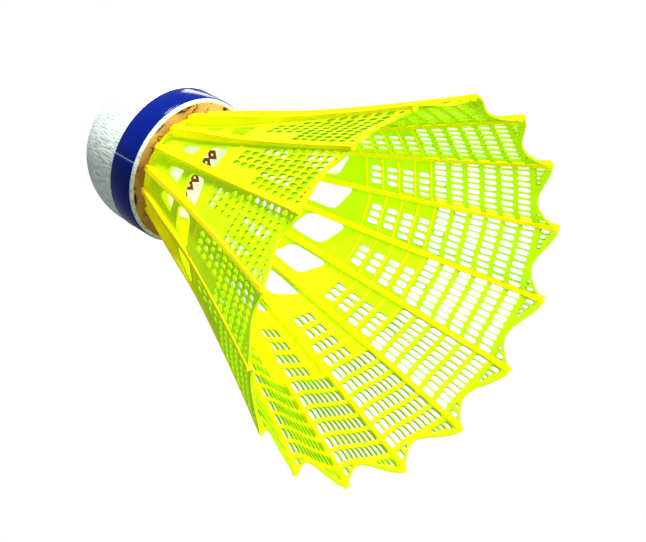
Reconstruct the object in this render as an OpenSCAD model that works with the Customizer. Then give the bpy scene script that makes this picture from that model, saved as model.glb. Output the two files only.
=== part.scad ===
// Synthetic badminton shuttlecock, standing on its rib tips with the cork nose up.
// The moulded skirt is divided at its ribs into one feather (rib and vane) per node.

/* [Skirt] */
// Radius of the circle through the rib tips
rim_r = 33; // [30:0.5:36]
// Radius of the circle through the rib feet, at the cork face
neck_r = 10; // [9:0.25:11.5]
// Height from the rib tips to the cork face
skirt_h = 53.3; // [44:0.5:64]
// How far the skirt bows in from a straight cone, halfway up
skirt_bow = 0.75; // [0:0.05:1.5]
// Width of a rib across its outer face
rib_w = 1.4; // [1.1:0.1:1.7]
// Depth of a rib from its outer to its inner face
rib_d = 1.6; // [1.5:0.05:2.1]
// Wall of the netted vane between two ribs
vane_t = 0.4; // [0.35:0.05:0.6]
// How far a vane leans in where it meets the next rib, as a share of the radius
vane_lean = 0.032; // [0.02:0.002:0.04]
// Depth of the scallop between two rib tips
scallop_d = 2.55; // [2:0.05:3.2]

/* [Netting] */
// Width of a slot
slot_w = 0.84; // [0.5:0.02:0.9]
// Height of a slot
slot_h = 1.9; // [1.2:0.05:2]
// Step from one row of slots to the next
slot_row_step = 2.62; // [2.4:0.02:3]
// Step from one slot to the next along a row
slot_pitch = 1.12; // [1:0.02:1.4]
// Height of the first full row above the rib tips
slot_first_z = 4.6; // [4.4:0.1:5]
// Plain band left between the last row and the large windows
plain_band = 3.2; // [1.5:0.1:5]
// Web left between a slot and the rib beside it
slot_web = 0.12; // [0.08:0.02:0.3]
// Web left between a tip slot and the scalloped edge
tip_web = 0.55; // [0.4:0.05:0.8]
// Web left between a tip slot and the first full row
tip_row_web = 0.8; // [0.5:0.05:1.2]

/* [Windows] */
// Height of the large windows, measured beside a rib
window_h = 5.8; // [4:0.1:7]
// Rise of the large windows' slanted edges across a cell
window_slant = 1.9; // [0:0.1:2.5]
// Bar left between the large windows and the small ones
ring_h = 2.4; // [1.5:0.1:3.5]
// Height of the small windows
small_window_h = 4.8; // [3:0.1:6]
// Plain wall left between the small windows and the cork face
collar_h = 6; // [4:0.2:8]

/* [Head] */
// Width of the cork face outside the rib feet
cork_margin = 2; // [1.2:0.1:2.6]
// Height of the head's straight side
cork_side_h = 7.6; // [6.6:0.1:12]
// Thickness of the cork's outer disc
cork_disc_h = 4.2; // [2:0.1:5.5]
// Thickness of the leather cover
leather_t = 0.6; // [0.3:0.05:1]
// How far the cover's edge stands past the cork face
leather_lip = 0.25; // [0:0.05:0.6]
// Thickness of the tape band
tape_t = 0.15; // [0.1:0.05:0.4]
// Width of the tape band
tape_w = 4.9; // [3:0.1:6]
// Distance from the cork face to the tape band
tape_gap = 0.4; // [0:0.1:0.8]
// Angle left open where the tape's ends meet
tape_seam_angle = 1.6; // [0.5:0.1:6]
// Direction of the tape's seam around the axis
tape_seam_turn = 272; // [0:1:359]

/* [Spigot] */
// Gap between the rib feet and the spigot tube
spigot_gap = 1.1; // [0.3:0.1:1.6]
// Wall of the spigot tube
spigot_wall = 1.1; // [0.8:0.1:1.6]
// Depth of the spigot in the cork
spigot_depth = 6.4; // [5:0.1:9]
// Height of the spigot's collar inside the neck
spigot_rise = 2.6; // [1:0.1:4]
// Thickness of the flange let into the cork face
flange_t = 0.9; // [0.5:0.1:1.5]
// Thickness of the glue around the spigot
glue_t = 0.25; // [0.1:0.05:0.4]
// Thickness of the printed label disc
label_t = 0.3; // [0.2:0.05:0.6]

/* [Hidden] */
rib_count = 16;

skirt_yellow = [0.87, 1, 0];
cork_brown = [0.82, 0.6, 0.36];
leather_white = [0.95, 0.95, 0.93];
tape_blue = [0.03, 0.08, 0.6];
label_grey = [0.8, 0.85, 0.82];
glue_amber = [0.85, 0.75, 0.5];

cell_angle = 360 / rib_count;
// Direction and size of one cell's chord, for a rib circle of radius 1
chord = [(1 - vane_lean) * cos(cell_angle) - 1, (1 - vane_lean) * sin(cell_angle)];
chord_angle = atan2(chord[1], chord[0]);
chord_length = norm(chord);
chord_start = cos(chord_angle);
chord_distance = sin(chord_angle);

profile_steps = 6;
edge_steps = 20;
corner_steps = 4;
rim_margin = 1;
cut_reach = rim_r + 10;

short_rows = 4;
narrow_rows = 2;
// Shares of a cell, from one rib to the next
short_row_start = 0.42;
short_row_end = 0.83;
narrow_row_end = 0.735;
tip_slot_starts = [0.09, 0.175, 0.26, 0.9];
tip_slot_min_h = 0.3;
scallop_skew = 1.45;
small_window_base = [0.27, 0.72];
small_window_top = [0.35, 0.62];
window_corner = 1.1;
small_corner = 0.5;
window_near_web = 0.02;
window_far_web = 0.6;

small_window_top_z = skirt_h - collar_h;
small_window_base_z = small_window_top_z - small_window_h;
window_top_z = small_window_base_z - ring_h;
window_base_z = window_top_z - window_h - window_slant;
slot_rows = 1 + floor((window_base_z - plain_band - slot_h / 2 - slot_first_z) / slot_row_step);

cork_r = neck_r + cork_margin;
spigot_r = neck_r - rib_d - spigot_gap;
nose_centre_z = skirt_h + cork_side_h;
socket_r = spigot_r + glue_t;
socket_depth = spigot_depth + glue_t;
flange_r = neck_r - 0.1;
cover_r = cork_r + leather_t;
round_fn = 120;

// Radius of the ribs' outer faces at height z
function skirt_r(z) =
    let (s = 1 - z / skirt_h)
    neck_r + (rim_r - neck_r) * s - 4 * skirt_bow * s * (1 - s);

// A point on a vane: u runs from 0 at its own rib to 1 at the next
function on_vane(u, z) = [skirt_r(z) * (chord_start + u * chord_length), z];

// A distance along a vane at height z, as a share of the cell
function share(d, z) = d / (skirt_r(z) * chord_length);

// Height of the scalloped edge at u
function edge_z(u) = scallop_d * sin(180 * pow(u, scallop_skew));

// A rounded corner at b between the points a and c
function corner(a, b, c, d) =
    let (p = b + d * (a - b) / norm(a - b), q = b + d * (c - b) / norm(c - b))
    [for (i = [0 : corner_steps]) let (t = i / corner_steps)
        (1 - t) * (1 - t) * p + 2 * t * (1 - t) * b + t * t * q];

// An outline with each of its corners rounded
function rounded(points, d) =
    let (n = len(points))
    [for (i = [0 : n - 1]) each corner(points[(i + n - 1) % n], points[i], points[(i + 1) % n], d)];

// A strip that follows the skirt's profile, scaled to a distance from the axis
module profile_strip(scale_r, thickness) {
    heights = [for (i = [0 : profile_steps]) skirt_h * i / profile_steps];
    polygon(concat(
        [for (z = heights) [scale_r * skirt_r(z), z]],
        [for (i = [profile_steps : -1 : 0]) [scale_r * skirt_r(heights[i]) - thickness, heights[i]]]));
}

// Stands a flat shape of (distance from the axis, height) up, centred on the XZ plane
module stand_up(width) {
    rotate([90, 0, 0]) linear_extrude(height = width, center = true) children();
}

// Pushes a flat shape of (along the chord, height) outward through a vane
module through_vane() {
    rotate([90, 0, 90]) linear_extrude(height = cut_reach) children();
}

module slot(u, low_z, high_z) {
    half = share(slot_w / 2, (low_z + high_z) / 2);
    polygon([on_vane(u - half, low_z), on_vane(u + half, low_z),
             on_vane(u + half, high_z), on_vane(u - half, high_z)]);
}

// Rows that run from rib to rib, then short rows beside the next rib
module slot_rows_2d() {
    for (row = [0 : slot_rows - 1]) {
        z = slot_first_z + slot_row_step * row;
        margin = share(rib_w / 2 + slot_web + slot_w / 2, z);
        full = row < slot_rows - short_rows;
        narrow = row >= slot_rows - narrow_rows;
        first = full ? margin : short_row_start;
        last = full ? 1 - margin : min(narrow ? narrow_row_end : short_row_end, 1 - margin);
        gaps = max(1, round((last - first) / share(slot_pitch, z)));
        for (i = [0 : gaps])
            slot(first + (last - first) * i / gaps, z - slot_h / 2, z + slot_h / 2);
    }
}

module tip_slots_2d() {
    top_z = slot_first_z - slot_h / 2 - tip_row_web;
    for (u = tip_slot_starts)
        if (edge_z(u) + tip_web < top_z - tip_slot_min_h) slot(u, edge_z(u) + tip_web, top_z);
}

module large_window_2d() {
    near = share(rib_w / 2 + window_near_web, window_base_z);
    far = 1 - share(rib_w / 2 + window_far_web, window_top_z);
    polygon(rounded([on_vane(near, window_base_z), on_vane(far, window_base_z + window_slant),
                     on_vane(far, window_top_z), on_vane(near, window_top_z - window_slant)], window_corner));
}

module small_window_2d() {
    polygon(rounded([on_vane(small_window_base[0], small_window_base_z),
                     on_vane(small_window_base[1], small_window_base_z),
                     on_vane(small_window_top[1], small_window_top_z),
                     on_vane(small_window_top[0], small_window_top_z)], small_corner));
}

// Everything below the scalloped edge
module below_edge_2d() {
    edge = [for (i = [0 : edge_steps]) let (u = i / edge_steps) on_vane(u, edge_z(u))];
    start_x = edge[0][0] - rim_margin;
    end_x = edge[edge_steps][0] + rim_margin;
    polygon(concat([[start_x, -rim_margin], [start_x, 0]], edge, [[end_x, 0], [end_x, -rim_margin]]));
}

module rib() {
    stand_up(rib_w) profile_strip(1, rib_d);
}

module vane() {
    difference() {
        rotate(chord_angle - 90) difference() {
            stand_up(2 * cut_reach) profile_strip(chord_distance, vane_t);
            through_vane() {
                slot_rows_2d();
                tip_slots_2d();
            }
            through_vane() large_window_2d();
            through_vane() small_window_2d();
            through_vane() below_edge_2d();
        }
        // ends inside its own rib
        translate([-cut_reach, rib_w / 4 - 3 * cut_reach, -rim_margin])
            cube([3 * cut_reach, 3 * cut_reach, skirt_h + 2 * rim_margin]);
        // ends against the next rib's side
        rotate(cell_angle) translate([-cut_reach, -rib_w / 2, -rim_margin])
            cube([3 * cut_reach, 3 * cut_reach, skirt_h + 2 * rim_margin]);
    }
}

// One rib with the netted vane that runs from it to the next rib
module feather(k) {
    color(skirt_yellow) rotate((k - 1) * cell_angle) union() {
        rib();
        vane();
    }
}

// Tube that plugs into the cork, with the flange that carries the rib feet
module spigot() {
    color(skirt_yellow) rotate_extrude($fn = round_fn) polygon([
        [spigot_r - spigot_wall, skirt_h - spigot_rise], [spigot_r, skirt_h - spigot_rise],
        [spigot_r, skirt_h], [flange_r, skirt_h],
        [flange_r, skirt_h + flange_t], [spigot_r, skirt_h + flange_t],
        [spigot_r, skirt_h + spigot_depth], [spigot_r - spigot_wall, skirt_h + spigot_depth]]);
}

// Cured glue between the spigot and its socket
module glue_sleeve() {
    color(glue_amber) rotate_extrude($fn = round_fn) polygon([
        [spigot_r, skirt_h + flange_t], [socket_r, skirt_h + flange_t],
        [socket_r, skirt_h + socket_depth], [spigot_r - spigot_wall, skirt_h + socket_depth],
        [spigot_r - spigot_wall, skirt_h + spigot_depth], [spigot_r, skirt_h + spigot_depth]]);
}

// Round label that closes the spigot's mouth inside the neck
module label_disc() {
    color(label_grey) translate([0, 0, skirt_h - spigot_rise - label_t])
        cylinder(h = label_t, r = spigot_r, $fn = round_fn);
}

// Space taken out of the cork by the flange and the socket
module socket_space() {
    translate([0, 0, skirt_h - rim_margin]) cylinder(h = flange_t + rim_margin, r = flange_r, $fn = round_fn);
    translate([0, 0, skirt_h]) cylinder(h = socket_depth, r = socket_r, $fn = round_fn);
}

// Flat disc of cork that faces the skirt
module cork_disc() {
    color(cork_brown) difference() {
        translate([0, 0, skirt_h]) cylinder(h = cork_disc_h, r = cork_r, $fn = round_fn);
        socket_space();
    }
}

// Domed body of the head behind the disc
module cork_nose() {
    color(cork_brown) difference() {
        union() {
            translate([0, 0, skirt_h + cork_disc_h])
                cylinder(h = cork_side_h - cork_disc_h, r = cork_r, $fn = round_fn);
            translate([0, 0, nose_centre_z]) dome(cork_r);
        }
        socket_space();
    }
}

module dome(radius) {
    rotate_extrude($fn = round_fn) intersection() {
        circle(r = radius, $fn = round_fn);
        square([radius, radius]);
    }
}

// Thin white cover over the nose and the side, open at the cork face
module leather_cover() {
    color(leather_white) difference() {
        union() {
            translate([0, 0, skirt_h - leather_lip])
                cylinder(h = cork_side_h + leather_lip, r = cover_r, $fn = round_fn);
            translate([0, 0, nose_centre_z]) dome(cover_r);
        }
        translate([0, 0, skirt_h - leather_lip - rim_margin])
            cylinder(h = cork_side_h + leather_lip + rim_margin, r = cork_r, $fn = round_fn);
        translate([0, 0, nose_centre_z]) dome(cork_r);
    }
}

// Tape around the cover's edge, with a narrow seam where its ends meet
module tape_band() {
    color(tape_blue) translate([0, 0, skirt_h + tape_gap]) rotate(tape_seam_turn + tape_seam_angle / 2)
        rotate_extrude(angle = 360 - tape_seam_angle, $fn = round_fn)
            translate([cover_r, 0]) square([tape_t, tape_w]);
}

for (k = [1 : rib_count]) feather(k);
spigot();
glue_sleeve();
label_disc();
cork_disc();
cork_nose();
leather_cover();
tape_band();
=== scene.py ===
"""Badminton shuttlecock: a netted nylon skirt on sixteen ribs, and a cork head under leather and tape."""
from math import cos, pi, radians, sin

import bmesh
import bpy
from mathutils import Euler, Matrix, Vector, noise


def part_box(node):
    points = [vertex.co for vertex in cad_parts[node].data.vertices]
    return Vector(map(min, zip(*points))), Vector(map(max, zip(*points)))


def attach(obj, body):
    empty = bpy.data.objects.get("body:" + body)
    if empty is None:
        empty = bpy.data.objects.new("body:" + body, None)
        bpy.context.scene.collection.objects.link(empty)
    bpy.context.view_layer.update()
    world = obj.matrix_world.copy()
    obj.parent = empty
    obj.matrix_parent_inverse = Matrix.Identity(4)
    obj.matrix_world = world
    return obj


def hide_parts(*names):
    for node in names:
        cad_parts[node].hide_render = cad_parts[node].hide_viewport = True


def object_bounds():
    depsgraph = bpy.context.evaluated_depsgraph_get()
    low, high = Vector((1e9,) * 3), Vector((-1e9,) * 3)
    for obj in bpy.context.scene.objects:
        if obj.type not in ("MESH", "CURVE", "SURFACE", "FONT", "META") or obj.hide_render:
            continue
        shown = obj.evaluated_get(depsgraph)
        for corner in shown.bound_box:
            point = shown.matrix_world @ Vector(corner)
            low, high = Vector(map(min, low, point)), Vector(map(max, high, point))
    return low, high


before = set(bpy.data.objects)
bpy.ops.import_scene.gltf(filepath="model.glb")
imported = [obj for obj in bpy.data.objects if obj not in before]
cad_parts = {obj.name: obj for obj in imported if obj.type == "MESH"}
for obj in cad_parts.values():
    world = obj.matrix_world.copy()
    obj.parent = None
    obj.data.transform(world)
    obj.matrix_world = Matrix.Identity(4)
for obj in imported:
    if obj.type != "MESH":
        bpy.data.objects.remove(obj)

CAD_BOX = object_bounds()
MM = 1000.0

# ---------------------------------------------------------------- sizes, in millimetres
# From the frame
RIM_R = CAD_BOX[1].x * MM
NOSE_Z = CAD_BOX[1].z * MM
SKIRT_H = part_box("cork_disc")[0].z * MM
CORK_BACK_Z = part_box("cork_disc")[1].z * MM
CORK_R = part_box("cork_disc")[1].x * MM
COVER_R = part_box("leather_cover")[1].x * MM
COVER_EDGE_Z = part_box("leather_cover")[0].z * MM
FLANGE_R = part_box("spigot")[1].x * MM
TAPE_LOW_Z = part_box("tape_band")[0].z * MM
TAPE_HIGH_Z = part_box("tape_band")[1].z * MM
TAPE_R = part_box("tape_band")[1].x * MM
LABEL_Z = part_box("label_disc")[0].z * MM

# Skirt: its ribs follow one bowed line from the neck to the rim, and the flange stops just inside the neck
RIB_COUNT = 16
CELL_ANGLE = 2 * pi / RIB_COUNT
FLANGE_INSIDE = 0.1
NECK_R = FLANGE_R + FLANGE_INSIDE
SKIRT_BOW = 0.75

# Ribs: depth and width at the rim and above, the wider tips, and the fins that their feet make
RIB_DEPTH_RIM = 1.22
RIB_DEPTH = 1.8
FULL_DEPTH_Z = 36.0
RIB_W_RIM = 0.88
RIB_W_NECK = 1.15
RIB_ROUND = 0.2
RIB_CUTS = 18
TIP_FLARE = 0.45
TIP_FLARE_H = 2.9
TIP_ROUND = 0.6
NECK_FIN = 0.5
NECK_START_Z = 30.0
NECK_BLEND_H = 16.0

# Vanes: how far each starts inside its own rib's face and leans in at the next, and how it bends between
VANE_SET_IN = 0.12
NECK_SET_IN = 0.7
NECK_LEAN = 0.25
WALL_T = 0.4
WALL_ROUND = 0.07
WALL_LEAN_RIM = 0.4
WALL_LEAN = 0.85
WALL_BEND = 0.045
BEND_SKEW = 2.8
VANE_LOW_Z = 0.05

# Scalloped edge: its depth, where it is deepest, how broad the tips are, and how it meets the next rib
SCALLOP_D = 2.55
SCALLOP_SKEW = 1.4
SCALLOP_BREADTH = 1.25
TIP_SHOULDER = 0.4
TIP_SHOULDER_POWER = 8
SCALLOP_STEPS = 36

# Slots, in rows across a cell. Each is smaller outside by its taper, but keeps most of its size.
SLOT_W = 0.96
SLOT_H = 2.02
SLOT_PITCH = 1.12
SLOT_WEB = 0.1
SLOT_TAPER = 0.26
SLOT_TAPER_MOST = 0.4
SLOT_SIDES = 14
ROW_STEP = 2.62
FIRST_ROW_Z = 4.6
FULL_ROWS = 6
SHORT_ROWS = 4
SHORT_ROW_START = 0.42
SHORT_ROW_ENDS = [0.83, 0.83, 0.735, 0.735]
SHORT_ROW_SLOT_H = SLOT_H * 0.9
# Across a cell, height and width of each slot between the first row and the scalloped edge
TIP_SLOTS = [(0.095, 1.75, 0.85), (0.175, 1.25, 0.75), (0.25, 0.85, 0.7), (0.32, 0.75, 0.6),
             (0.81, 0.6, 0.75), (0.91, 1.4, 0.85)]
TIP_ROW_WEB = 0.75

# Windows above the slots: corners as (share of the cell's width, height)
LARGE_WINDOW = [(0.115, 32.3), (0.79, 34.5), (0.76, 40.2), (0.13, 38.7)]
LARGE_WINDOW_ROUND = 1.5
SMALL_WINDOW = [(0.25, 42.5), (0.72, 42.5), (0.62, 47.4), (0.35, 47.4)]
SMALL_WINDOW_ROUND = 0.9

# Bars that stiffen the vanes: where they start and end across a cell, and their thickness
BAR_START = 0.05
BAR_END = 0.93
BAR_CUTS = 14
BAR_ROUND_SHARE = 0.3
INNER_BAR = 0.28
OUTER_BAR = 0.4
OUTER_BAR_Z = 31.0

# Numbers of a feather's materials; the slot walls' darker green is painted shade in the slots
VANE, RIB, SLOT_WALL = range(3)
# Name of the layer that holds, for each vertex, the number of the slot that it belongs to, or 0
SLOT_MARK = "slot"
# Cosine of the smallest angle between a slot wall's normal and the direction straight through the vane
SLOT_WALL_COS = 0.7

# A cell is laid out flat this wide, then bent to its place between two ribs
FLAT_W = 10.0
# Where the flat cell is divided across and lengthways, so that it can bend
STRIP_H = 2 * ROW_STEP
BEND_LINES = [0.35, 0.55, 0.68, 0.76, 0.82, 0.88, 0.94]

# Cork face: its rings and steps, the chipped part of its rim, and the depth of its pits
CORK_RINGS = 14
CORK_STEPS = 420
CORK_CHAMFER = 0.15
CORK_CHIPPED_W = 0.7
DENT = 0.3
CRACK = 2.2
CRACK_W = 0.1
CRACK_DEEPEST = 0.5
CHIP = 1.6
PIT_DEEPEST = 0.7

# Leather cover: the height of its lip's slope outside and inside, and how far up and how much it is uneven
COVER_STEPS = 288
COVER_SIDE_STEPS = 8
LIP_OUTSIDE = 0.2
LIP_INSIDE = 0.15
LIP_H = 0.3
LIP_RISE = 0.07
LIP_WAVE = 0.09
LIP_WAVE_IN = 0.004

# Tape: how far its edges are softened, in shares of its thickness, and where its ends almost meet
TAPE_STEPS = 240
TAPE_SOFT_IN = 0.3
TAPE_SOFT_UP = 0.6
TAPE_SEAM = radians(272)
TAPE_SEAM_GAP = radians(1.1)

# Printed chain on the label
LINKS = 6
LINK_REACH = 1.6
LINK_H = 3.1
LINK_OVERLAP = 1.1
LINK_STROKE = 0.56
PRINT_T = 0.03
PRINT_PLACE = (-3.0, -3.1, LABEL_Z)
PRINT_TURN = radians(29)

# Points nearer than this are in the same place, and edges that turn more than this are sharp
NEARLY = 0.01
SHARP = radians(50)


def skirt_r(z):
    """Radius of the ribs' outer faces at height z."""
    s = 1 - z / SKIRT_H
    return NECK_R + (RIM_R - NECK_R) * s - 4 * SKIRT_BOW * s * (1 - s)


def cell_w(z):
    """Width of a cell at height z."""
    return 2 * skirt_r(z) * sin(CELL_ANGLE / 2)


def deepening(z, at_rim, above):
    """A depth that grows steadily from its value at the rim to its value above the slots."""
    return at_rim + (above - at_rim) * min(1.0, z / FULL_DEPTH_Z)


def near_neck(z):
    """0 along the flared skirt and 1 at the neck, with a smooth change between them."""
    share = min(1.0, max(0.0, (z - NECK_START_Z) / NECK_BLEND_H))
    return share * share * (3 - 2 * share)


def rib_w(z):
    """Width of a rib at height z: it grows steadily from the tip to the neck."""
    return RIB_W_RIM + (RIB_W_NECK - RIB_W_RIM) * z / SKIRT_H


def edge_z(u):
    """Height of the scalloped edge at u, which runs from 0 at a rib to 1 at the next. The tips are broad,
    and the edge meets the next rib a little above its end."""
    scallop = SCALLOP_D * max(0.0, sin(pi * u ** SCALLOP_SKEW)) ** SCALLOP_BREADTH
    return scallop + TIP_SHOULDER * u ** TIP_SHOULDER_POWER


def wall_point(u, z, inward=0.0):
    """A point of a vane's outer face. It starts almost flush with its own rib and leans in towards the next,
    where it bends back out again. At the neck it stays well inside both ribs."""
    near = skirt_r(z) - VANE_SET_IN - NECK_SET_IN * near_neck(z)
    far = skirt_r(z) - deepening(z, WALL_LEAN_RIM, WALL_LEAN) - NECK_LEAN * near_neck(z)
    start = Vector((near, 0, z))
    end = Vector((far * cos(CELL_ANGLE), far * sin(CELL_ANGLE), z))
    straight_in = Vector((-cos(CELL_ANGLE / 2), -sin(CELL_ANGLE / 2), 0))
    bend = WALL_BEND * cell_w(z) * sin(pi * u ** BEND_SKEW)
    return start.lerp(end, u) + straight_in * (bend + inward)


# ---------------------------------------------------------------- making and finishing pieces
def solid(bm):
    """Merges doubles and turns every face outwards."""
    bmesh.ops.remove_doubles(bm, verts=bm.verts, dist=1e-4)
    bmesh.ops.recalc_face_normals(bm, faces=bm.faces)


def round_off(bm, edges, offset, segments):
    """Rounds some edges, and gives back the faces that this makes."""
    made = bmesh.ops.bevel(bm, geom=edges, offset=offset, offset_type="OFFSET", segments=segments,
                           profile=0.5, affect="EDGES", material=-1, clamp_overlap=True)
    return made["faces"]


def ease_edges(bm, offset, segments, spread=None):
    """Rounds the sharp edges. Only the rounded faces are shaded smooth, so that broad faces stay flat.
    The material numbered spread runs on from its faces over the rounded ones beside them."""
    for face in bm.faces:
        face.smooth = False
    sharp = [e for e in bm.edges if len(e.link_faces) == 2 and e.calc_face_angle(0) > SHARP]
    eased = round_off(bm, sharp, offset, segments)
    for face in eased:
        face.smooth = True
    for step in range(segments - 1):
        beside = [f for f in eased if spread in materials_around(f)]
        for face in beside:
            face.material_index = spread


def materials_around(face):
    """Numbers of the materials on a face and on the faces that share an edge with it."""
    return {g.material_index for e in face.edges for g in e.link_faces}


def shade_smooth(bm):
    for face in bm.faces:
        face.smooth = True


def piece(bm, name, materials, replaced=()):
    """Makes an object of a mesh that was built in millimetres."""
    bmesh.ops.scale(bm, verts=bm.verts, vec=(1 / MM,) * 3)
    mesh = bpy.data.meshes.new(name)
    bm.to_mesh(mesh)
    bm.free()
    for material in materials:
        mesh.materials.append(material)
    made = bpy.data.objects.new(name, mesh)
    bpy.context.scene.collection.objects.link(made)
    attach(made, "root")
    if replaced:
        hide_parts(*replaced)
    return made


def spun(profile, steps, angle=2 * pi):
    """A round piece, or part of one, from a closed outline of (distance from the axis, height) points."""
    bm = bmesh.new()
    verts = [bm.verts.new((r, 0, z)) for r, z in profile]
    for a, b in zip(verts, verts[1:] + verts[:1]):
        bm.edges.new((a, b))
    bmesh.ops.spin(bm, geom=bm.verts[:] + bm.edges[:], cent=(0, 0, 0), axis=(0, 0, 1), dvec=(0, 0, 0),
                   angle=angle, steps=steps, use_merge=angle == 2 * pi)
    solid(bm)
    return bm


def arc(centre, radius, start, end, steps):
    """Points along an arc, in degrees."""
    angles = [radians(start + (end - start) * i / steps) for i in range(steps + 1)]
    return [(centre[0] + radius * cos(a), centre[1] + radius * sin(a)) for a in angles]


# ---------------------------------------------------------------- skirt
def ring_of(bm, points):
    """Adds a closed loop of edges, flat on the layout plane."""
    verts = [bm.verts.new((x, y, 0)) for x, y in points]
    for a, b in zip(verts, verts[1:] + verts[:1]):
        bm.edges.new((a, b))


def rounded(points, size, steps=5):
    """An outline with each of its corners rounded."""
    out = []
    for i, corner in enumerate(points):
        b = Vector(corner)
        p = b + size * (Vector(points[i - 1]) - b).normalized()
        q = b + size * (Vector(points[(i + 1) % len(points)]) - b).normalized()
        for k in range(steps + 1):
            t = k / steps
            out.append(tuple((1 - t) ** 2 * p + 2 * t * (1 - t) * b + t * t * q))
    return out


def slot_loop(bm, u, z, height, width=SLOT_W):
    """Adds a slot with well rounded corners, centred on (u, z), and writes its number on its vertices."""
    layer = bm.verts.layers.int[SLOT_MARK]
    number = max((v[layer] for v in bm.verts), default=0) + 1
    made = bmesh.ops.create_circle(bm, cap_ends=False, radius=1, segments=SLOT_SIDES)["verts"]
    half_w = width / 2 / cell_w(z) * FLAT_W
    for vert in made:
        x, y = vert.co.x, vert.co.y
        squarer = (x ** 4 + y ** 4) ** -0.25
        vert[layer] = number
        vert.co = Vector((x * squarer * half_w, y * squarer * height / 2, 0))
    bmesh.ops.translate(bm, verts=made, vec=(u * FLAT_W, z, 0))


def cut_slots(bm):
    """Six rows run from rib to rib, then four short rows stay beside the next rib."""
    for row in range(FULL_ROWS + SHORT_ROWS):
        z = FIRST_ROW_Z + ROW_STEP * row
        margin = (rib_w(z) / 2 + SLOT_WEB + SLOT_W / 2) / cell_w(z)
        if row < FULL_ROWS:
            first, last, height = margin, 1 - margin, SLOT_H
        else:
            first, last, height = SHORT_ROW_START, SHORT_ROW_ENDS[row - FULL_ROWS], SHORT_ROW_SLOT_H
        gaps = round((last - first) * cell_w(z) / SLOT_PITCH)
        for i in range(gaps + 1):
            slot_loop(bm, first + (last - first) * i / gaps, z, height)


def cut_tip_slots(bm):
    """Four slots that get smaller across the tip beside each rib, and two before the next rib."""
    top = FIRST_ROW_Z - SLOT_H / 2 - TIP_ROW_WEB
    for u, height, width in TIP_SLOTS:
        slot_loop(bm, u, top - height / 2, height, width)


def cut_windows(bm):
    """One large slanted window and one small tapering window in each cell."""
    for corners, size in ((LARGE_WINDOW, LARGE_WINDOW_ROUND), (SMALL_WINDOW, SMALL_WINDOW_ROUND)):
        ring_of(bm, rounded([(u * FLAT_W, z) for u, z in corners], size))


def divide(bm, place, normal):
    """Cuts edges and faces where they cross a plane, and keeps both sides."""
    everything = bm.verts[:] + bm.edges[:] + bm.faces[:]
    bmesh.ops.bisect_plane(bm, geom=everything, dist=1e-5, plane_co=place, plane_no=normal)


def vane_sheet():
    """A cell laid flat: its outline, slots and windows are filled as one sheet and divided into strips."""
    bm = bmesh.new()
    bm.verts.layers.int.new(SLOT_MARK)
    across = [i / SCALLOP_STEPS for i in range(SCALLOP_STEPS + 1)]
    ring_of(bm, [(u * FLAT_W, edge_z(u)) for u in across] + [(FLAT_W, SKIRT_H), (0, SKIRT_H)])
    cut_slots(bm)
    cut_tip_slots(bm)
    cut_windows(bm)
    bmesh.ops.triangle_fill(bm, use_beauty=True, use_dissolve=False, edges=bm.edges[:], normal=(0, 0, 1))
    strips = int((SKIRT_H - FIRST_ROW_Z) / STRIP_H)
    for i in range(strips + 1):
        divide(bm, (0, FIRST_ROW_Z + ROW_STEP / 2 + STRIP_H * i, 0), (0, 1, 0))
    for u in BEND_LINES:
        divide(bm, (u * FLAT_W, 0, 0), (1, 0, 0))
    return bm


def taper_slots(bm, outer_verts):
    """Makes each slot smaller at the vane's outer face, all round, so that its walls slope."""
    layer = bm.verts.layers.int[SLOT_MARK]
    mouths = {}
    for vert in outer_verts:
        if vert[layer]:
            mouths.setdefault(vert[layer], []).append(vert)
    for mouth in mouths.values():
        centre = sum((v.co for v in mouth), Vector()) / len(mouth)
        reach = max((v.co - centre).xy.length for v in mouth)
        for vert in mouth:
            from_centre = vert.co - centre
            vert.co = centre + from_centre * (1 - min(SLOT_TAPER_MOST, SLOT_TAPER / 2 / reach))


def sheet_normal(z):
    """Direction straight through a vane at height z."""
    along = wall_point(1, z) - wall_point(0, z)
    upward = wall_point(0.5, z + 1) - wall_point(0.5, z - 1)
    return along.cross(upward).normalized()


def mark_slot_walls(bm):
    """Gives the slots' walls their own darker material, painted shade in the slots: they run through the
    vane, and slots made their corners.
    """
    layer = bm.verts.layers.int[SLOT_MARK]
    for face in bm.faces:
        through = sheet_normal(face.calc_center_median().z)
        if abs(face.normal.dot(through)) < SLOT_WALL_COS and all(v[layer] for v in face.verts):
            face.material_index = SLOT_WALL


def add_vane(target):
    """The flat cell is bent to its place, given its wall, and eased at all its edges."""
    bm = vane_sheet()
    for vert in bm.verts:
        vert.co = wall_point(vert.co.x / FLAT_W, vert.co.y)
    bm.normal_update()
    outward = sum((f.normal * f.calc_area() for f in bm.faces), Vector())
    if outward.x < 0:
        bmesh.ops.reverse_faces(bm, faces=bm.faces)
    outer_verts = bm.verts[:]
    bmesh.ops.solidify(bm, geom=bm.faces[:], thickness=WALL_T)
    taper_slots(bm, outer_verts)
    solid(bm)
    mark_slot_walls(bm)
    # The slot walls' painted shade runs on over the rounded edges of the slots.
    ease_edges(bm, WALL_ROUND, 2, spread=SLOT_WALL)
    for vert in bm.verts:
        vert.co.z = max(vert.co.z, VANE_LOW_Z)
    merge_into(target, bm)


def merge_into(target, bm):
    """Adds one mesh under construction to another."""
    holder = bpy.data.meshes.new("holder")
    bm.to_mesh(holder)
    bm.free()
    target.from_mesh(holder)
    bpy.data.meshes.remove(holder)


def bar(size, cuts, axis):
    """A box from 0 to 1 along an axis, divided along it, with the other two sides centred."""
    bm = bmesh.new()
    bmesh.ops.create_cube(bm, size=1)
    bmesh.ops.translate(bm, verts=bm.verts, vec=[0.5 if i == axis else 0 for i in range(3)])
    normal = [1 if i == axis else 0 for i in range(3)]
    for i in range(1, cuts):
        divide(bm, [c * i / cuts for c in normal], normal)
    bmesh.ops.scale(bm, verts=bm.verts, vec=size)
    return bm


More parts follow.
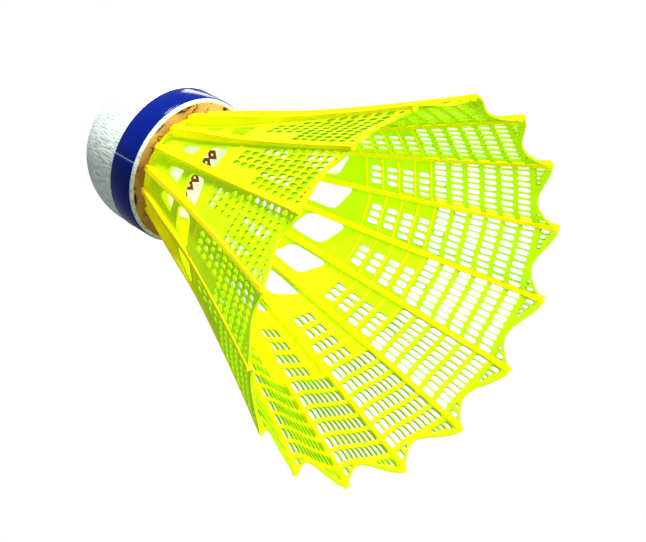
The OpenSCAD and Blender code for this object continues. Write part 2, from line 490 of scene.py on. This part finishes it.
def paint(bm, material_index):
    for face in bm.faces:
        face.material_index = material_index


def add_rib(target):
    """A rib follows the skirt's line and grows wider towards the neck. Its tip is wider again and rounded."""
    bm = bar((1, 1, SKIRT_H), RIB_CUTS, 2)
    for vert in bm.verts:
        z = vert.co.z
        inside = skirt_r(z) - deepening(z, RIB_DEPTH_RIM, RIB_DEPTH)
        outside = skirt_r(z) + NECK_FIN * near_neck(z)
        width = rib_w(z) + TIP_FLARE * max(0.0, 1 - z / TIP_FLARE_H)
        vert.co = (inside + (outside - inside) * (0.5 + vert.co.x), vert.co.y * width, z)
    bm.normal_update()
    paint(bm, RIB)
    tip = []
    for edge in bm.edges:
        a, b = edge.verts
        if max(a.co.z, b.co.z) < NEARLY and abs(a.co.x - b.co.x) > RIB_DEPTH_RIM / 2:
            tip.append(edge)
    round_off(bm, tip, TIP_ROUND, 4)
    ease_edges(bm, RIB_ROUND, 3)
    merge_into(target, bm)


def add_bar_across(target, z, inward, size):
    """A thin raised bar across a cell, on one face of the vane."""
    bm = bar((1, size, size), BAR_CUTS, 0)
    for vert in bm.verts:
        u = BAR_START + (BAR_END - BAR_START) * vert.co.x
        vert.co = wall_point(u, z + vert.co.z, inward + vert.co.y)
    bm.normal_update()
    bmesh.ops.recalc_face_normals(bm, faces=bm.faces)
    paint(bm, RIB)
    ease_edges(bm, size * BAR_ROUND_SHARE, 2)
    merge_into(target, bm)


def feather():
    """One rib, with the netted vane and the thin bars that stiffen it: inside, one below and above each short
    row of slots, and outside, one below the windows."""
    bm = bmesh.new()
    add_vane(bm)
    add_rib(bm)
    for row in range(FULL_ROWS, FULL_ROWS + SHORT_ROWS + 1):
        add_bar_across(bm, FIRST_ROW_Z + ROW_STEP * (row - 0.5), WALL_T, INNER_BAR)
    add_bar_across(bm, OUTER_BAR_Z, 0.0, OUTER_BAR)
    return bm


def make_skirt(vane_nylon, rib_nylon, slot_wall_shade_nylon):
    """Sixteen equal feathers, each turned to its place."""
    pattern = bpy.data.meshes.new("feather")
    bm = feather()
    bm.to_mesh(pattern)
    bm.free()
    for k in range(RIB_COUNT):
        turned = bmesh.new()
        turned.from_mesh(pattern)
        turn = Matrix.Rotation(k * CELL_ANGLE, 3, "Z")
        bmesh.ops.rotate(turned, verts=turned.verts, cent=(0, 0, 0), matrix=turn)
        number = "%02d" % (k + 1)
        materials = [vane_nylon, rib_nylon, slot_wall_shade_nylon]
        piece(turned, "netted_feather_" + number, materials, ["feather_" + number])
    bpy.data.meshes.remove(pattern)


# ---------------------------------------------------------------- head
def patches(place, scale, threshold, shift=(0, 0, 0)):
    """0 in most places and more in scattered patches, which a higher threshold makes smaller and fewer."""
    return max(0.0, noise.noise(place * scale + Vector(shift)) - threshold)


def cork_pit(place, r):
    """Depth of the cork's surface below its flat face: soft dents, short cracks and chips along the rim."""
    dent = patches(place, 1.4, 0.3) * DENT
    cracked = patches(place, 0.35, 0.05, (7, 3, 1))
    crack = max(0.0, 1 - abs(noise.noise(place * 0.6)) / CRACK_W) * CRACK * cracked
    chip = patches(place, 0.5, 0.15, (2, 9, 4)) * CHIP if r > CORK_R - CORK_CHIPPED_W else 0.0
    return dent + min(crack, CRACK_DEEPEST) + chip


def make_cork_face(cork):
    """The visible end of the cork: its face is dug with shallow pits and its rim is chipped."""
    flat_w = CORK_R - CORK_CHAMFER - FLANGE_R
    profile = [(FLANGE_R + flat_w * i / CORK_RINGS, SKIRT_H) for i in range(CORK_RINGS + 1)]
    profile += [(CORK_R, SKIRT_H + CORK_CHAMFER), (CORK_R, CORK_BACK_Z), (FLANGE_R, CORK_BACK_Z)]
    bm = spun(profile, CORK_STEPS)
    for vert in bm.verts:
        r = vert.co.xy.length
        if vert.co.z < SKIRT_H + NEARLY and r > FLANGE_R + NEARLY:
            vert.co.z += min(cork_pit(vert.co, r), PIT_DEEPEST)
    shade_smooth(bm)
    piece(bm, "pitted_cork_face", [cork], ["cork_disc"])


def make_leather(leather):
    """The cover is a thin cup; its cut edge stands round the cork face and is slightly uneven."""
    wall = COVER_R - CORK_R
    side_top = NOSE_Z - COVER_R
    side_low = COVER_EDGE_Z + LIP_OUTSIDE
    side_h = side_top - side_low
    outer = [(COVER_R, side_low + side_h * i / COVER_SIDE_STEPS) for i in range(COVER_SIDE_STEPS)]
    outer += arc((0, side_top), COVER_R, 0, 90, 40)
    inner = arc((0, side_top), CORK_R, 90, 0, 24) + [(CORK_R, COVER_EDGE_Z + LIP_INSIDE)]
    lip = [(CORK_R + wall * share, COVER_EDGE_Z) for share in (0.25, 0.75)]
    bm = spun(outer + inner + lip, COVER_STEPS)
    for vert in bm.verts:
        if vert.co.z < COVER_EDGE_Z + LIP_H:
            wave = noise.noise(vert.co * 0.9) + 0.6 * noise.noise(vert.co * 3.0)
            vert.co.z += max(0.0, LIP_RISE + LIP_WAVE * wave)
            if vert.co.xy.length > CORK_R + wall / 2:
                vert.co.xy *= 1 - LIP_WAVE_IN * max(0.0, wave)
    shade_smooth(bm)
    piece(bm, "leather_nose_cover", [leather], ["leather_cover"])


def make_tape(tape):
    """A band of glossy tape with softened edges; its two ends stop short of each other."""
    thick = TAPE_R - COVER_R
    soft_r = TAPE_R - thick * TAPE_SOFT_IN
    soft_h = thick * TAPE_SOFT_UP
    profile = [(COVER_R, TAPE_LOW_Z), (soft_r, TAPE_LOW_Z), (TAPE_R, TAPE_LOW_Z + soft_h),
               (TAPE_R, TAPE_HIGH_Z - soft_h), (soft_r, TAPE_HIGH_Z), (COVER_R, TAPE_HIGH_Z)]
    bm = spun(profile, TAPE_STEPS, angle=2 * pi - TAPE_SEAM_GAP)
    bmesh.ops.holes_fill(bm, edges=[e for e in bm.edges if e.is_boundary])
    turn = Matrix.Rotation(TAPE_SEAM + TAPE_SEAM_GAP / 2, 3, "Z")
    bmesh.ops.rotate(bm, verts=bm.verts, cent=(0, 0, 0), matrix=turn)
    solid(bm)
    shade_smooth(bm)
    for face in bm.faces:
        on_edge = abs(face.normal.z) > 0.9
        at_end = len(face.verts) > 4
        if on_edge or at_end:
            face.smooth = False
    piece(bm, "tape_wrap", [tape], ["tape_band"])


def make_label_mark(ink):
    """A generic printed chain of lozenges across the label."""
    bm = bmesh.new()
    for i in range(LINKS):
        corners = bmesh.ops.create_circle(bm, cap_ends=True, radius=LINK_H / 2, segments=4)["verts"]
        middle = corners[0].link_faces[0]
        bmesh.ops.scale(bm, verts=corners, vec=(LINK_REACH / LINK_H * LINK_OVERLAP, 1, 1))
        bmesh.ops.inset_individual(bm, faces=[middle], thickness=LINK_STROKE, use_even_offset=True)
        link = [g for e in middle.edges for g in e.link_faces]
        link_verts = list({v for f in link for v in f.verts})
        bmesh.ops.delete(bm, geom=[middle], context="FACES_ONLY")
        bmesh.ops.translate(bm, verts=link_verts, vec=(LINK_REACH * i, 0, 0))
    walls = bmesh.ops.extrude_face_region(bm, geom=bm.faces[:])
    raised = [g for g in walls["geom"] if isinstance(g, bmesh.types.BMVert)]
    bmesh.ops.translate(bm, verts=raised, vec=(0, 0, -PRINT_T))
    turn = Matrix.Rotation(PRINT_TURN, 3, "Z")
    bmesh.ops.rotate(bm, verts=bm.verts, cent=(0, 0, 0), matrix=turn)
    bmesh.ops.translate(bm, verts=bm.verts, vec=PRINT_PLACE)
    bmesh.ops.recalc_face_normals(bm, faces=bm.faces)
    piece(bm, "label_print", [ink])


# ---------------------------------------------------------------- materials
def named_group(name, inputs, outputs):
    """A shader node group with named inputs (name, default) and outputs (name, socket type)."""
    tree = bpy.data.node_groups.new(name, "ShaderNodeTree")
    for label, value in inputs:
        socket = tree.interface.new_socket(label, in_out="INPUT", socket_type="NodeSocketFloat")
        socket.default_value = value
    for label, kind in outputs:
        tree.interface.new_socket(label, in_out="OUTPUT", socket_type=kind)
    return tree, tree.nodes.new("NodeGroupInput"), tree.nodes.new("NodeGroupOutput")


def add(tree, kind, **settings):
    """Adds a node and sets its properties, or its sockets where the name is a socket's."""
    node = tree.nodes.new(kind)
    for key, value in settings.items():
        if hasattr(node, key):
            setattr(node, key, value)
        else:
            node.inputs[key.replace("_", " ")].default_value = value
    return node


def join(tree, source, target):
    tree.links.new(source, target)


def ramp(tree, source, stops):
    """A colour ramp from (position, colour) stops."""
    node = tree.nodes.new("ShaderNodeValToRGB")
    while len(node.color_ramp.elements) > 1:
        node.color_ramp.elements.remove(node.color_ramp.elements[-1])
    node.color_ramp.elements[0].position = stops[0][0]
    node.color_ramp.elements[0].color = (*stops[0][1], 1)
    for place, colour in stops[1:]:
        node.color_ramp.elements.new(place).color = (*colour, 1)
    join(tree, source, node.inputs["Fac"])
    return node.outputs["Color"]


def speckle_group():
    """Soft clouds and fine specks, as heights and masks: the base of moulding texture, grain and wear."""
    inputs = [("Cloud Scale", 60.0), ("Speck Scale", 900.0), ("Detail", 4.0)]
    outputs = [(label, "NodeSocketFloat") for label in ("Cloud", "Speck", "Height")]
    tree, given, result = named_group("soft_speckle", inputs, outputs)
    place = add(tree, "ShaderNodeTexCoord")
    cloud = add(tree, "ShaderNodeTexNoise")
    speck = add(tree, "ShaderNodeTexNoise")
    for node, scale in ((cloud, "Cloud Scale"), (speck, "Speck Scale")):
        join(tree, place.outputs["Object"], node.inputs["Vector"])
        join(tree, given.outputs[scale], node.inputs["Scale"])
        join(tree, given.outputs["Detail"], node.inputs["Detail"])
    total = add(tree, "ShaderNodeMath", operation="ADD")
    join(tree, cloud.outputs["Fac"], total.inputs[0])
    join(tree, speck.outputs["Fac"], total.inputs[1])
    join(tree, cloud.outputs["Fac"], result.inputs["Cloud"])
    join(tree, speck.outputs["Fac"], result.inputs["Speck"])
    join(tree, total.outputs[0], result.inputs["Height"])
    return tree


def new_material(name):
    """A material with its node tree and its main shader."""
    material = bpy.data.materials.new(name)
    material.use_nodes = True
    return material, material.node_tree, material.node_tree.nodes["Principled BSDF"]


def speckled(tree, group, cloud, speck):
    """Places the speckle group in a material, with its own scales."""
    node = tree.nodes.new("ShaderNodeGroup")
    node.node_tree = group
    node.inputs["Cloud Scale"].default_value = cloud
    node.inputs["Speck Scale"].default_value = speck
    return node


def bump(tree, height, shader, strength, distance):
    """Raises the surface by a height, over a distance in metres."""
    node = add(tree, "ShaderNodeBump", Strength=strength, Distance=distance)
    join(tree, height, node.inputs["Height"])
    join(tree, node.outputs["Normal"], shader.inputs["Normal"])


def vary_gloss(tree, mask, shader, low, high):
    """Lets the roughness run from low to high with a mask."""
    gloss = add(tree, "ShaderNodeMapRange", To_Min=low, To_Max=high)
    join(tree, mask, gloss.inputs["Value"])
    join(tree, gloss.outputs["Result"], shader.inputs["Roughness"])


def nylon(name, group, deep, bright, painted_glow, roughness):
    """Moulded fluorescent nylon: a painted glow stands in for its fluorescence and lifts its shade; its
    colour drifts with the flow of the plastic.
    """
    material, tree, shader = new_material(name)
    texture = speckled(tree, group, cloud=70, speck=1600)
    colour = ramp(tree, texture.outputs["Cloud"], [(0.3, deep), (0.7, bright)])
    join(tree, colour, shader.inputs["Base Color"])
    vary_gloss(tree, texture.outputs["Speck"], shader, roughness - 0.08, roughness + 0.1)
    # Painted light: the nylon shines in its own colour, for its fluorescence and to lift its shade.
    join(tree, colour, shader.inputs["Emission Color"])
    shader.inputs["Emission Strength"].default_value = painted_glow
    shader.inputs["Specular IOR Level"].default_value = 0.04
    bump(tree, texture.outputs["Height"], shader, strength=0.25, distance=0.00004)
    return material


def cork_material(group):
    """Warm cork: soft tan grains, brown specks, and dark brown painted shade where the surface is dug out."""
    material, tree, shader = new_material("natural_cork")
    place = add(tree, "ShaderNodeTexCoord")
    texture = speckled(tree, group, cloud=160, speck=2200)
    tans = [(0.28, (0.36, 0.1, 0.035)), (0.42, (0.56, 0.25, 0.07)), (0.58, (0.66, 0.35, 0.12)),
            (0.75, (0.74, 0.46, 0.2))]
    grains = ramp(tree, texture.outputs["Cloud"], tans)
    height = add(tree, "ShaderNodeSeparateXYZ")
    join(tree, place.outputs["Object"], height.inputs["Vector"])
    # Painted shade: the colour goes dark brown where the surface lies dug out below the flat face.
    dug = add(tree, "ShaderNodeMapRange", interpolation_type="SMOOTHSTEP")
    dug.inputs["From Min"].default_value = (SKIRT_H + 0.06) / MM
    dug.inputs["From Max"].default_value = (SKIRT_H + 0.4) / MM
    join(tree, height.outputs["Z"], dug.inputs["Value"])
    mixed = add(tree, "ShaderNodeMix", data_type="RGBA")
    mixed.inputs["B"].default_value = (0.09, 0.02, 0.008, 1)
    join(tree, dug.outputs["Result"], mixed.inputs["Factor"])
    join(tree, grains, mixed.inputs["A"])
    specks = ramp(tree, texture.outputs["Speck"], [(0.3, (0.45, 0.25, 0.15)), (0.4, (1, 1, 1))])
    flecked = add(tree, "ShaderNodeMix", data_type="RGBA", blend_type="MULTIPLY")
    flecked.inputs["Factor"].default_value = 0.7
    join(tree, mixed.outputs["Result"], flecked.inputs["A"])
    join(tree, specks, flecked.inputs["B"])
    join(tree, flecked.outputs["Result"], shader.inputs["Base Color"])
    shader.inputs["Roughness"].default_value = 0.85
    bump(tree, texture.outputs["Height"], shader, strength=0.6, distance=0.00015)
    return material


def leather_material(group):
    """White leather with fine wrinkles that run along the nose, with grey-green painted shade where they are
    deep.
    """
    material, tree, shader = new_material("white_leather")
    place = add(tree, "ShaderNodeTexCoord")
    squeeze = add(tree, "ShaderNodeMapping")
    squeeze.inputs["Scale"].default_value = (1, 1, 0.2)
    wrinkles = add(tree, "ShaderNodeTexNoise", Scale=2700.0, Detail=1.2, Roughness=0.5, Distortion=0.3)
    join(tree, place.outputs["Object"], squeeze.inputs["Vector"])
    join(tree, squeeze.outputs["Vector"], wrinkles.inputs["Vector"])
    texture = speckled(tree, group, cloud=120, speck=2400)
    # The ramp follows the wrinkles' height: its grey-green low end is painted shade in the deep wrinkles.
    whites_and_crease_shade = [(0.33, (0.52, 0.66, 0.55)), (0.46, (0.74, 0.84, 0.78)), (0.6, (0.9, 0.95, 0.92))]
    colour = ramp(tree, wrinkles.outputs["Fac"], whites_and_crease_shade)
    join(tree, colour, shader.inputs["Base Color"])
    vary_gloss(tree, texture.outputs["Cloud"], shader, 0.42, 0.62)
    bump(tree, wrinkles.outputs["Fac"], shader, strength=0.8, distance=0.00016)
    return material


def tape_material(group):
    """Glossy blue tape that follows the leather under it."""
    material, tree, shader = new_material("glossy_blue_tape")
    texture = speckled(tree, group, cloud=90, speck=1500)
    blues = [(0.3, (0.0002, 0.007, 0.14)), (0.7, (0.0006, 0.013, 0.22))]
    colour = ramp(tree, texture.outputs["Cloud"], blues)
    join(tree, colour, shader.inputs["Base Color"])
    vary_gloss(tree, texture.outputs["Speck"], shader, 0.08, 0.16)
    shader.inputs["Specular IOR Level"].default_value = 0.2
    bump(tree, texture.outputs["Height"], shader, strength=0.35, distance=0.00006)
    return material


def paper_material(group):
    """Pale paper of the label."""
    material, tree, shader = new_material("label_paper")
    texture = speckled(tree, group, cloud=200, speck=3000)
    colour = ramp(tree, texture.outputs["Cloud"], [(0.35, (0.66, 0.76, 0.68)), (0.65, (0.8, 0.88, 0.8))])
    join(tree, colour, shader.inputs["Base Color"])
    shader.inputs["Roughness"].default_value = 0.5
    bump(tree, texture.outputs["Speck"], shader, strength=0.3, distance=0.00003)
    return material


def ink_material(group):
    """Dark red ink, a little uneven."""
    material, tree, shader = new_material("dark_red_ink")
    texture = speckled(tree, group, cloud=500, speck=4000)
    colour = ramp(tree, texture.outputs["Cloud"], [(0.3, (0.13, 0.001, 0.003)), (0.7, (0.24, 0.003, 0.006))])
    join(tree, colour, shader.inputs["Base Color"])
    shader.inputs["Roughness"].default_value = 0.4
    return material


def glue_material(group):
    """Cured amber glue, with a smooth, slightly lumpy surface."""
    material, tree, shader = new_material("amber_glue")
    texture = speckled(tree, group, cloud=300, speck=2000)
    colour = ramp(tree, texture.outputs["Cloud"], [(0.3, (0.5, 0.32, 0.1)), (0.7, (0.7, 0.5, 0.22))])
    join(tree, colour, shader.inputs["Base Color"])
    shader.inputs["Roughness"].default_value = 0.2
    bump(tree, texture.outputs["Height"], shader, strength=0.3, distance=0.00005)
    return material


def dress_node(name, material):
    """Gives a carried-over solid its material."""
    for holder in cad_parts[name].material_slots:
        holder.material = material


# ---------------------------------------------------------------- stage, in metres
FLOOR_REACH = 6.0
FLOOR_Z = -0.0001
CAMERA_PLACE = (0.10299, -0.31905, -0.26288)
CAMERA_TURN = (149.197, 41.654, 66.589)
LENS = 154.55
SENSOR_W = 36.0


def make_floor():
    """A pale floor. It is seen only from above, so it never hides the skirt from a low camera."""
    bm = bmesh.new()
    bmesh.ops.create_grid(bm, x_segments=1, y_segments=1, size=FLOOR_REACH)
    mesh = bpy.data.meshes.new("floor")
    bm.to_mesh(mesh)
    bm.free()
    floor = bpy.data.objects.new("floor", mesh)
    bpy.context.scene.collection.objects.link(floor)
    floor.location.z = FLOOR_Z
    floor.visible_shadow = False
    floor.visible_diffuse = False
    floor.visible_glossy = False
    material, tree, shader = new_material("pale_floor")
    shader.inputs["Base Color"].default_value = (0.86, 0.86, 0.85, 1)
    shader.inputs["Roughness"].default_value = 0.7
    clear = add(tree, "ShaderNodeBsdfTransparent")
    side = add(tree, "ShaderNodeNewGeometry")
    choice = add(tree, "ShaderNodeMixShader")
    join(tree, side.outputs["Backfacing"], choice.inputs["Fac"])
    join(tree, shader.outputs["BSDF"], choice.inputs[1])
    join(tree, clear.outputs["BSDF"], choice.inputs[2])
    join(tree, choice.outputs["Shader"], tree.nodes["Material Output"].inputs["Surface"])
    mesh.materials.append(material)


def make_camera():
    """It looks up into the open skirt from below and to one side, with the head at the far end."""
    data = bpy.data.cameras.new("camera")
    camera = bpy.data.objects.new("camera", data)
    bpy.context.scene.collection.objects.link(camera)
    data.lens = LENS
    data.sensor_width = SENSOR_W
    data.clip_start = 0.01
    camera.location = CAMERA_PLACE
    camera.rotation_euler = Euler([radians(a) for a in CAMERA_TURN], "XYZ")
    bpy.context.scene.camera = camera
    return camera


def make_light(camera, name, right, up, front, size, power):
    """A soft square light that faces the shuttlecock, placed to the right of it, above it and in front of it
    as the camera sees them."""
    data = bpy.data.lights.new(name, "AREA")
    data.shape = "SQUARE"
    data.size = size
    data.energy = power
    light = bpy.data.objects.new(name, data)
    bpy.context.scene.collection.objects.link(light)
    axes = camera.rotation_euler.to_matrix()
    middle = Vector((0, 0, SKIRT_H / 2 / MM))
    light.location = middle + axes @ Vector((right, up, front))
    light.rotation_mode = "QUATERNION"
    light.rotation_quaternion = (light.location - middle).to_track_quat("Z", "Y")


def make_world():
    """White surroundings: full white to look at, softer as a light."""
    world = bpy.data.worlds.new("white_studio")
    world.use_nodes = True
    tree = world.node_tree
    light = tree.nodes["Background"]
    light.inputs["Color"].default_value = (0.95, 0.98, 1, 1)
    light.inputs["Strength"].default_value = 0.25
    seen = add(tree, "ShaderNodeBackground")
    seen.inputs["Color"].default_value = (1, 1, 1, 1)
    seen.inputs["Strength"].default_value = 1.0
    path = add(tree, "ShaderNodeLightPath")
    choice = add(tree, "ShaderNodeMixShader")
    join(tree, path.outputs["Is Camera Ray"], choice.inputs["Fac"])
    join(tree, light.outputs[0], choice.inputs[1])
    join(tree, seen.outputs[0], choice.inputs[2])
    join(tree, choice.outputs["Shader"], tree.nodes["World Output"].inputs["Surface"])
    bpy.context.scene.world = world


# ---------------------------------------------------------------- the shuttlecock
speckle = speckle_group()
# The glow makes each nylon shine without a lamp: painted light that stands in for fluorescence and lifts the
# shade.
vane_nylon = nylon("vane_nylon", speckle, (0.5, 0.88, 0.003), (0.62, 0.95, 0.005), painted_glow=0.16, roughness=0.5)
rib_nylon = nylon("rib_nylon", speckle, (0.84, 0.78, 0.002), (0.94, 0.85, 0.004), painted_glow=0.16, roughness=0.45)
# The slot walls' nylon is a darker copy of the vane nylon: painted shade in the slots.
slot_wall_shade_nylon = nylon("slot_wall_shade_nylon", speckle, (0.28, 0.58, 0.003), (0.38, 0.7, 0.004), painted_glow=0.1, roughness=0.5)
cork = cork_material(speckle)

make_skirt(vane_nylon, rib_nylon, slot_wall_shade_nylon)
make_cork_face(cork)
make_leather(leather_material(speckle))
make_tape(tape_material(speckle))
make_label_mark(ink_material(speckle))
dress_node("spigot", rib_nylon)
dress_node("cork_nose", cork)
dress_node("label_disc", paper_material(speckle))
dress_node("glue_sleeve", glue_material(speckle))

make_floor()
camera = make_camera()
make_world()
make_light(camera, "key", right=0.0, up=0.62, front=0.15, size=0.25, power=7.3)
make_light(camera, "inside", right=0.45, up=0.05, front=0.45, size=0.3, power=5.0)
make_light(camera, "front", right=-0.3, up=-0.1, front=0.6, size=0.5, power=0.7)
make_light(camera, "back", right=0.05, up=0.34, front=-0.5, size=0.17, power=0.4)
bpy.context.scene.view_settings.view_transform = "Standard"
